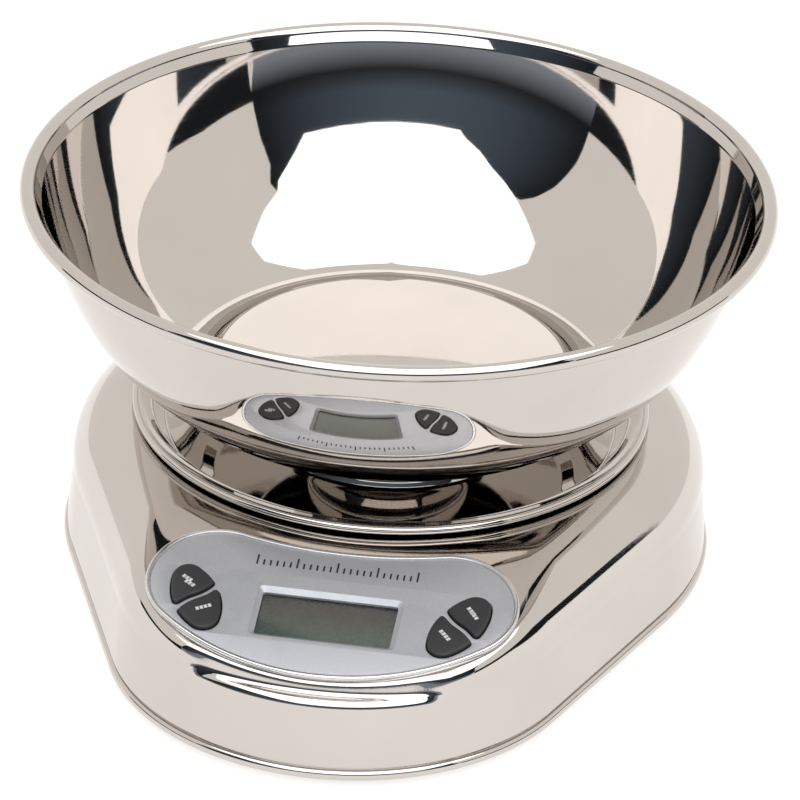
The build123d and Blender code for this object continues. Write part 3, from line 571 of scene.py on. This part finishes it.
def make_key(node, body, material):
    """Rubber cap with rounded edges and a slightly domed top."""
    loop = key_loop(node)
    p, nrm = frame_loop(loop)
    centre = p.mean(0)
    rings = [(0.0, -2.0), (0.0, -0.6), (0.0, 0.5)]
    rings += [(-0.6 * (1 - math.cos(t)), 0.5 + 0.55 * math.sin(t)) for t in np.linspace(0.25, math.pi / 2, 6)]
    verts, faces = [], []
    count = len(p)
    for off, h in rings:
        verts += [on_panel(*(p[i] + off * nrm[i]), h) for i in range(count)]
    edge = p - 0.6 * nrm
    domes = [(0.86, 1.09), (0.68, 1.12), (0.48, 1.14), (0.27, 1.155), (0.1, 1.16)]
    for scale, h in domes:
        verts += [on_panel(*(centre + scale * (edge[i] - centre)), h) for i in range(count)]
    levels = len(rings) + len(domes)
    for k in range(levels - 1):
        for i in range(count):
            j = (i + 1) % count
            faces.append((k * count + i, k * count + j, (k + 1) * count + j, (k + 1) * count + i))
    faces.append(tuple((levels - 1) * count + i for i in range(count)))
    verts.append(on_panel(*centre, -2.0))
    faces += [(len(verts) - 1, (i + 1) % count, i) for i in range(count)]
    cap = new_object(node + "_cap", verts, faces, body, "black_rubber", material)
    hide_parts(node)
    return cap, centre


def printed(name, bars, body, material, height):
    """Thin printed bars: (u, v, width, length, turn in degrees)."""
    verts, faces = [], []
    for u, v, w, h, turn in bars:
        c, s = math.cos(math.radians(turn)), math.sin(math.radians(turn))
        k = len(verts)
        for n in (height - 0.15, height):
            for x, y in ((-w / 2, -h / 2), (w / 2, -h / 2), (w / 2, h / 2), (-w / 2, h / 2)):
                verts.append(on_panel(u + c * x - s * y, v + s * x + c * y, n))
        faces += [(k + 3, k + 2, k + 1, k), (k + 4, k + 5, k + 6, k + 7)]
        faces += [(k + i, k + (i + 1) % 4, k + 4 + (i + 1) % 4, k + 4 + i) for i in range(4)]
    slot = "silver_plastic" if body == "base" else "black_rubber"
    obj = new_object(name, verts, faces, body, slot, material)
    obj.data.set_sharp_from_angle(angle=math.radians(30))
    return obj


# ---- camera


def make_camera():
    azimuth, elevation, roll = math.radians(8.1), math.radians(29.5), math.radians(2.35)
    back = Vector((math.cos(elevation) * math.sin(azimuth), -math.cos(elevation) * math.cos(azimuth),
                   math.sin(elevation)))
    right = Vector((math.cos(azimuth), math.sin(azimuth), 0))
    up = back.cross(right)
    aim = Vector((AXIS.x, AXIS.y, bowl_high.z - 0.0747)) + 0.0028 * right
    eye = aim + 1.8 * back
    r = math.cos(roll) * right + math.sin(roll) * up
    u = -math.sin(roll) * right + math.cos(roll) * up
    data = bpy.data.cameras.new("camera")
    data.sensor_width = 36
    data.lens = 5820 / 800 * 36
    cam = bpy.data.objects.new("camera", data)
    bpy.context.scene.collection.objects.link(cam)
    m = Matrix.Identity(4)
    for i, axis in enumerate((r, u, back)):
        for j in range(3):
            m[j][i] = axis[j]
    m.translation = eye
    cam.matrix_world = m
    bpy.context.scene.camera = cam


# ---- materials


class Look:
    """A Principled material whose colour, roughness and relief vary over the surface."""

    def __init__(self, name, **values):
        self.material = bpy.data.materials.new(name)
        self.material.use_nodes = True
        self.tree = self.material.node_tree
        self.shader = self.tree.nodes["Principled BSDF"]
        for key, value in values.items():
            self.shader.inputs[key.replace("_", " ")].default_value = value
        self.place = self.add("ShaderNodeTexCoord").outputs["Object"]
        self.relief = None

    def add(self, kind, **inputs):
        node = self.tree.nodes.new(kind)
        for key, value in inputs.items():
            self.join(node.inputs[key.replace("_", " ")], value)
        return node

    def join(self, socket, value):
        if isinstance(value, bpy.types.NodeSocket):
            self.tree.links.new(value, socket)
        else:
            socket.default_value = value

    def stretched(self, x, y, z):
        """Object coordinates, in metres, scaled for each axis."""
        return self.add("ShaderNodeMapping", Vector=self.place, Scale=(x, y, z)).outputs[0]

    def noise(self, scale, detail=3.0, where=None):
        node = self.add("ShaderNodeTexNoise", Vector=where or self.place, Scale=scale, Detail=detail)
        return node.outputs["Fac"]

    def cells(self, scale, where=None):
        node = self.add("ShaderNodeTexVoronoi", Vector=where or self.place, Scale=scale)
        return node.outputs["Distance"]

    def between(self, value, low, high, start=0.3, end=0.7):
        node = self.add("ShaderNodeMapRange", Value=value)
        for key, number in (("From Min", start), ("From Max", end), ("To Min", low), ("To Max", high)):
            node.inputs[key].default_value = number
        return node.outputs["Result"]

    def blend(self, value, stops):
        """Colour ramp through (position, colour) stops."""
        node = self.add("ShaderNodeValToRGB", Fac=value)
        ramp = node.color_ramp
        while len(ramp.elements) < len(stops):
            ramp.elements.new(0.5)
        for element, (position, color) in zip(ramp.elements, stops):
            element.position = position
            element.color = (*color, 1)
        return node.outputs["Color"]

    def color(self, value, stops):
        self.join(self.shader.inputs["Base Color"], self.blend(value, stops))
        return self

    def rough(self, value, low, high):
        self.join(self.shader.inputs["Roughness"], self.between(value, low, high))
        return self

    def bump(self, value, strength, distance):
        """Adds a relief of this depth, in millimetres, to what is there already."""
        node = self.add("ShaderNodeBump", Height=value, Strength=strength, Distance=distance * MM)
        if self.relief:
            self.tree.links.new(self.relief, node.inputs["Normal"])
        self.relief = node.outputs[0]
        self.join(self.shader.inputs["Normal"], self.relief)
        return self

    def radius(self):
        """Distance from the bowl's axis, in metres."""
        move = self.add("ShaderNodeMapping", Vector=self.place, Scale=(1, 1, 0))
        move.inputs["Location"].default_value = (-AXIS.x, -AXIS.y, 0)
        length = self.add("ShaderNodeVectorMath", Vector=move.outputs[0])
        length.operation = "LENGTH"
        return length.outputs["Value"]

    def rings(self, scale):
        """Noise that is the same all round the bowl's axis, as spinning and polishing leave it."""
        height = self.add("ShaderNodeSeparateXYZ", Vector=self.place).outputs["Z"]
        where = self.add("ShaderNodeCombineXYZ", X=self.radius(), Y=height).outputs[0]
        return self.noise(scale, 2.0, where)


def shades(color, spread):
    """A darker and a lighter shade of a colour, for a ramp."""
    return [(0.3, [c * (1 - spread) for c in color]), (0.7, [min(1.0, c * (1 + spread)) for c in color])]


STEEL = (0.61, 0.575, 0.545)


def spun_steel():
    """Mirror-polished sheet with faint spinning rings, wiped smears and a few dull spots."""
    look = Look("spun_steel", Metallic=1.0)
    look.color(look.noise(28.0), shades(STEEL, 0.025))
    look.rough(look.rings(900.0), 0.022, 0.05)
    look.bump(look.rings(2600.0), 0.06, 0.01)
    return look.bump(look.noise(60.0), 0.05, 0.12).material


def pressed_steel():
    """Mirror-polished pressing: gentle unevenness of the sheet and fine polishing marks."""
    look = Look("pressed_steel", Metallic=1.0)
    look.color(look.noise(22.0), shades(STEEL, 0.025))
    look.rough(look.noise(350.0, 6.0, look.stretched(1, 1, 6)), 0.03, 0.065)
    look.bump(look.noise(900.0, 2.0, look.stretched(0.4, 0.4, 5)), 0.04, 0.008)
    return look.bump(look.noise(45.0), 0.06, 0.16).material


def silver_paint():
    """Silver lacquer on moulded plastic: fine flakes under a satin surface."""
    look = Look("silver_paint", Metallic=0.55, Coat_Weight=0.25, Coat_Roughness=0.3)
    look.color(look.noise(2600.0, 2.0), shades((0.49, 0.505, 0.54), 0.07))
    look.rough(look.noise(300.0, 4.0), 0.30, 0.42)
    look.bump(look.cells(2400.0), 0.05, 0.02)
    return look.bump(look.noise(70.0), 0.05, 0.08).material


def bright_plating():
    """Bright-plated plastic trim, slightly wavy and dulled by handling."""
    look = Look("bright_plating", Metallic=0.9)
    look.color(look.noise(120.0), shades((0.70, 0.70, 0.71), 0.04))
    look.rough(look.noise(500.0, 4.0), 0.12, 0.22)
    return look.bump(look.noise(260.0), 0.08, 0.05).material


def moulded(name, color, rough, grain=1500.0, depth=0.05, spread=0.12, **values):
    """Moulded plastic or rubber with a fine eroded grain."""
    look = Look(name, **values)
    look.color(look.noise(90.0, 5.0), shades(color, spread))
    look.rough(look.noise(grain / 3, 4.0), rough - 0.07, rough + 0.07)
    look.bump(look.cells(grain), 0.35, depth)
    return look.bump(look.noise(grain * 2, 2.0), 0.2, depth / 2).material


def zinc():
    """Zinc-plated steel with a blotchy passivated layer and drawing marks."""
    look = Look("zinc_steel", Metallic=1.0)
    look.color(look.noise(700.0, 4.0), [(0.35, (0.46, 0.46, 0.43)), (0.5, (0.60, 0.60, 0.58)),
                                        (0.68, (0.66, 0.63, 0.52))])
    look.rough(look.noise(1400.0, 4.0), 0.22, 0.42)
    return look.bump(look.noise(2400.0, 2.0, look.stretched(1, 1, 4)), 0.25, 0.03).material


def milled_aluminium():
    """Milled bar: fine parallel cutter marks along its length."""
    look = Look("beam_aluminium", Metallic=1.0)
    marks = look.noise(700.0, 3.0, look.stretched(0.15, 4, 4))
    look.color(marks, shades((0.75, 0.76, 0.77), 0.05))
    look.rough(marks, 0.24, 0.38)
    return look.bump(marks, 0.3, 0.02).material


def solder_mask():
    """Green mask over copper tracks, which show as raised lighter lines."""
    look = Look("circuit_board", Coat_Weight=0.6, Coat_Roughness=0.15)
    tracks = look.add("ShaderNodeTexBrick", Vector=look.stretched(1, 1.2, 1), Scale=130.0)
    for key, value in (("Mortar Size", 0.16), ("Mortar Smooth", 0.1), ("Bias", 0.0)):
        tracks.inputs[key].default_value = value
    look.color(tracks.outputs["Fac"], [(0.0, (0.015, 0.10, 0.035)), (1.0, (0.05, 0.23, 0.09))])
    look.rough(look.noise(800.0), 0.3, 0.42)
    return look.bump(tracks.outputs["Fac"], 0.5, 0.035).material


def battery_sleeve():
    """Shrink-wrapped cell, printed dark with a copper-coloured band at one end."""
    look = Look("battery_wrap", Coat_Weight=0.5, Coat_Roughness=0.12)
    along = look.add("ShaderNodeSeparateXYZ", Vector=look.place).outputs["X"]
    band = look.between(along, 0.0, 1.0, -0.013, -0.0128)
    look.color(band, [(0.0, (0.52, 0.25, 0.09)), (1.0, (0.03, 0.045, 0.10))])
    look.rough(look.noise(600.0), 0.26, 0.40)
    return look.bump(look.noise(300.0), 0.12, 0.04).material


def display_glass():
    """Reflective display: paler and greener at its near edge, brown-grey at its far edge; the darkening
    towards the far edge is painted shade, the bezel's shadow over the display.
    """
    look = Look("lcd_glass", Coat_Weight=0.4, Coat_Roughness=0.08)
    low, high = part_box("lcd_panel")
    along = look.add("ShaderNodeSeparateXYZ", Vector=look.place).outputs["Y"]
    grain = look.between(look.noise(60.0, 2.0), -0.0003, 0.0003)
    uneven = look.add("ShaderNodeMath")
    uneven.operation = "ADD"
    look.join(uneven.inputs[0], along)
    look.join(uneven.inputs[1], grain)
    height = look.between(uneven.outputs[0], 0.0, 1.0, low.y, high.y)
    # Painted shade: the ramp darkens the display towards its far edge, where the bezel's shadow falls.
    look.color(height, [(0.0, (0.105, 0.150, 0.125)), (0.35, (0.070, 0.105, 0.080)),
                        (0.62, (0.052, 0.056, 0.046)), (1.0, (0.022, 0.021, 0.019))])
    look.rough(look.noise(900.0), 0.22, 0.34)
    return look.bump(look.cells(2600.0), 0.04, 0.004).material


def clear_lens():
    """Clear acrylic with faint wiping marks."""
    look = Look("clear_lens", Transmission_Weight=1.0, IOR=1.46)
    look.color(look.noise(40.0), shades((0.96, 0.97, 0.965), 0.02))
    look.rough(look.noise(500.0, 5.0, look.stretched(1, 5, 1)), 0.015, 0.05)
    return look.bump(look.noise(30.0), 0.03, 0.05).material


def printing(name, color):
    """Slightly worn screen printing."""
    look = Look(name)
    look.color(look.noise(3000.0, 4.0), shades(color, 0.25))
    look.rough(look.noise(1500.0), 0.45, 0.62)
    return look.bump(look.noise(4000.0), 0.2, 0.01).material


BOWL_STEEL = spun_steel()
SHELL_STEEL = pressed_steel()
SILVER = silver_paint()
PLATING = bright_plating()
RUBBER = moulded("black_rubber", (0.020, 0.021, 0.022), 0.47, 1900.0, 0.03, 0.2)
INK = printing("dark_ink", (0.012, 0.012, 0.014))
PALE_INK = printing("pale_ink", (0.55, 0.56, 0.58))

# Finish of the nodes that are shown as they are, by the record's material slot
FINISHES = {
    "clear_lens": clear_lens(),
    "lcd_glass": display_glass(),
    "base_plastic": moulded("base_plastic", (0.045, 0.045, 0.048), 0.5, 1100.0, 0.07),
    "foot_rubber": moulded("foot_rubber", (0.028, 0.028, 0.028), 0.66, 800.0, 0.06),
    "zinc_steel": zinc(),
    "beam_aluminium": milled_aluminium(),
    "gauge_sealant": moulded("gauge_sealant", (0.74, 0.74, 0.70), 0.42, 320.0, 0.12, 0.05,
                             Subsurface_Weight=0.1),
    "circuit_board": solder_mask(),
    "switch_plastic": moulded("switch_plastic", (0.05, 0.05, 0.052), 0.42, 2200.0, 0.02),
    "chip_resin": moulded("chip_resin", (0.008, 0.008, 0.008), 0.2, 350.0, 0.05),
    "battery_wrap": battery_sleeve(),
    "lead_red": moulded("lead_red", (0.45, 0.02, 0.015), 0.38, 900.0, 0.02, 0.1),
    "lead_black": moulded("lead_black", (0.02, 0.02, 0.02), 0.38, 900.0, 0.02, 0.1),
    "cable_grey": moulded("cable_grey", (0.32, 0.32, 0.32), 0.42, 900.0, 0.02, 0.08),
}


# ---- pieces

bowl = new_object("bowl_skin", *spun_mesh(bowl_profile(), 256), "bowl", "polished_steel", BOWL_STEEL)
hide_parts("bowl")
tray = new_object("tray_skin", *spun_mesh(tray_profile(), 224), "platform", "polished_steel", BOWL_STEEL)
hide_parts("platform_tray")
shell = make_shell(SHELL_STEEL)
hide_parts("upper_shell")

KEYS = {"button_power": "key_power", "button_mode": "key_mode",
        "button_tare": "key_tare", "button_hold": "key_hold"}
holes = [offset_loop(key_loop(node), KEY_GAP)[::-1] for node in KEYS]
flare = rounded_box(WINDOW_U + WINDOW_FLARE, WINDOW_V + WINDOW_FLARE, 1.6)
face = plate("panel_face", [bean_loop(-1.45), flare[::-1]] + holes, PLATE_BACK_N, FACE_N, 0.25, SILVER)
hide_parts("display_bezel")
swept("panel_rim", bean_loop(0), rim_profile(), "base", "silver_plastic", PLATING, 50)
make_window_bevel(flare, rounded_box(WINDOW_U, WINDOW_V, 0.9), SILVER)

MARKS = {
    "button_power": [(-0.6, 1.3, -32), (0.5, -0.7, -32)], "button_mode": [(0, 0.6, 28)],
    "button_tare": [(-0.5, 1.0, -50), (0.6, -0.6, -50)], "button_hold": [(-0.4, 0.4, -48)]}
for node, body in KEYS.items():
    cap, centre = make_key(node, body, RUBBER)
    bars = []
    for du, dv, turn in MARKS[node]:
        c, s = math.cos(math.radians(turn)), math.sin(math.radians(turn))
        count = 3 if len(MARKS[node]) == 2 else 4
        for k in range(count):
            x = (k - (count - 1) / 2) * 1.25
            bars.append((centre[0] + du + c * x, centre[1] + dv + s * x, 0.95, 1.25, turn))
    printed(node + "_marks", bars, body, PALE_INK, 1.2)
ticks = []
for k in range(25):
    tall = 4.0 if k % 6 == 0 else 2.2
    ticks.append((-24 + 2 * k, -8.4 + tall / 2 - 1.5, 0.55, tall, 0))
printed("panel_marks", ticks, "base", INK, 0.03)

# The load cell bends as the platform sinks, flattening towards the underside of its fixed end; here the cell
# and its gauge coating are still copies of the frame's meshes, given their finish and carried by the base.
BENDING = {"load_cell": "beam_aluminium", "gauge_coating": "gauge_sealant"}
for node, slot in BENDING.items():
    bent = bpy.data.objects.new(node + "_bending", frame["nodes"][node].data.copy())
    bpy.context.scene.collection.objects.link(bent)
    bent.data.materials.clear()
    bent.data.materials.append(FINISHES[slot])
    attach(bent, "base")
    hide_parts(node)
    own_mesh(bent)

REPLACED = ["bowl", "platform_tray", "upper_shell", "display_bezel", *KEYS, *BENDING]
for part in frame["record"]["subparts"]:
    if part["node"] in REPLACED:
        continue
    carried = frame["nodes"][part["node"]]
    carried.data.materials.clear()
    carried.data.materials.append(FINISHES[part["material_slot"]])


# ---- studio


def stage_mesh(name, verts, faces, colors, strength):
    """Glowing surface, not seen by the camera, with a colour for each vertex."""
    mesh = bpy.data.meshes.new(name)
    mesh.from_pydata(verts, [], faces)
    mesh.shade_smooth()
    layer = mesh.color_attributes.new("glow", "FLOAT_COLOR", "POINT")
    for item, color in zip(layer.data, colors):
        item.color = (*color, 1)
    obj = bpy.data.objects.new(name, mesh)
    bpy.context.scene.collection.objects.link(obj)
    m = bpy.data.materials.new(name)
    m.use_nodes = True
    tree = m.node_tree
    tree.nodes.clear()
    color = tree.nodes.new("ShaderNodeAttribute")
    color.attribute_name = "glow"
    light = tree.nodes.new("ShaderNodeEmission")
    light.inputs["Strength"].default_value = strength
    out = tree.nodes.new("ShaderNodeOutputMaterial")
    tree.links.new(color.outputs["Color"], light.inputs["Color"])
    tree.links.new(light.outputs[0], out.inputs["Surface"])
    mesh.materials.append(m)
    obj.visible_camera = False
    return obj


def sky_patch(name, radius, rows, strength, steps=24):
    """Part of a dome round the object, in rows of (elevation, left azimuth, right azimuth, colour at the
    sides, colour in the middle); azimuth 0 is straight in front, in degrees."""
    centre = Vector((AXIS.x, AXIS.y, 0.08))
    verts, faces, colors = [], [], []
    for el, left, right, side, middle in rows:
        e = math.radians(el)
        for k, a in enumerate(np.radians(np.linspace(left, right, steps + 1))):
            out = Vector((math.sin(a) * math.cos(e), -math.cos(a) * math.cos(e), math.sin(e)))
            verts.append(centre + radius * out)
            share = math.sin(math.pi * k / steps)
            colors.append([p * (1 - share) + q * share for p, q in zip(side, middle)])
    for i in range(len(rows) - 1):
        for j in range(steps):
            a = i * (steps + 1) + j
            faces.append((a, a + 1, a + steps + 2, a + steps + 1))
    return stage_mesh(name, verts, faces, colors, strength)


make_camera()
bpy.context.scene.view_settings.view_transform = "Standard"
world = bpy.data.worlds.new("studio")
world.use_nodes = True
world.node_tree.nodes["Background"].inputs["Color"].default_value = (0.935, 0.905, 0.86, 1)
world.node_tree.nodes["Background"].inputs["Strength"].default_value = 1.0
bpy.context.scene.world = world

FLOOR_HALF = 6.0
floor_mesh = bpy.data.meshes.new("floor")
corners = [(x, y, -0.0003) for x, y in ((-FLOOR_HALF, -FLOOR_HALF), (FLOOR_HALF, -FLOOR_HALF),
                                        (FLOOR_HALF, FLOOR_HALF), (-FLOOR_HALF, FLOOR_HALF))]
floor_mesh.from_pydata(corners, [], [(0, 1, 2, 3)])
floor = bpy.data.objects.new("floor", floor_mesh)
bpy.context.scene.collection.objects.link(floor)
paper = Look("floor", Roughness=0.9, Emission_Color=(1, 0.98, 0.96, 1), Emission_Strength=0.84)
paper.color(paper.noise(3.0), shades((0.22, 0.215, 0.21), 0.02))
floor_mesh.materials.append(paper.material)

WHITE = (1.0, 1.0, 1.0)
NIGHT = (0.014, 0.016, 0.018)
SLATE = (0.09, 0.12, 0.155)
SOOT = (0.03, 0.032, 0.034)
MIST = (0.27, 0.30, 0.35)
softbox_rows = [
    (23.2, -13, 44), (30, -22, 49), (36, -29, 55), (41, -38, 62), (45.5, -47, 66), (50, -58, 80),
    (55, -78, 105), (60, -95, 120), (70, -120, 140), (78, -160, 160), (84, -180, 180), (89.9, -180, 180)]
sky_patch("softbox", 2.6, [(el, a, b, WHITE, WHITE) for el, a, b in softbox_rows], 2.3)
sky_patch("dark_front", 2.7, [
    (0.5, -58, 58, MIST, MIST), (4, -58, 58, MIST, MIST), (10, -58, 60, NIGHT, SOOT),
    (15, -58, 60, NIGHT, SLATE), (24.5, -57, 60, NIGHT, SLATE), (33, -56, 61, NIGHT, SLATE),
    (41, -53, 66, NIGHT, SLATE), (45, -49, 66, NIGHT, SLATE)], 1.0)
left_rows = [(-2, -100, -58), (8, -100, -58), (11, -96, -58)]
sky_patch("dark_left", 2.45, [(*row, NIGHT, NIGHT) for row in left_rows], 1.0)
right_rows = [(-2, 60, 116), (6, 60, 116), (12, 60, 80)]
sky_patch("dark_right", 2.45, [(*row, NIGHT, NIGHT) for row in right_rows], 1.0)
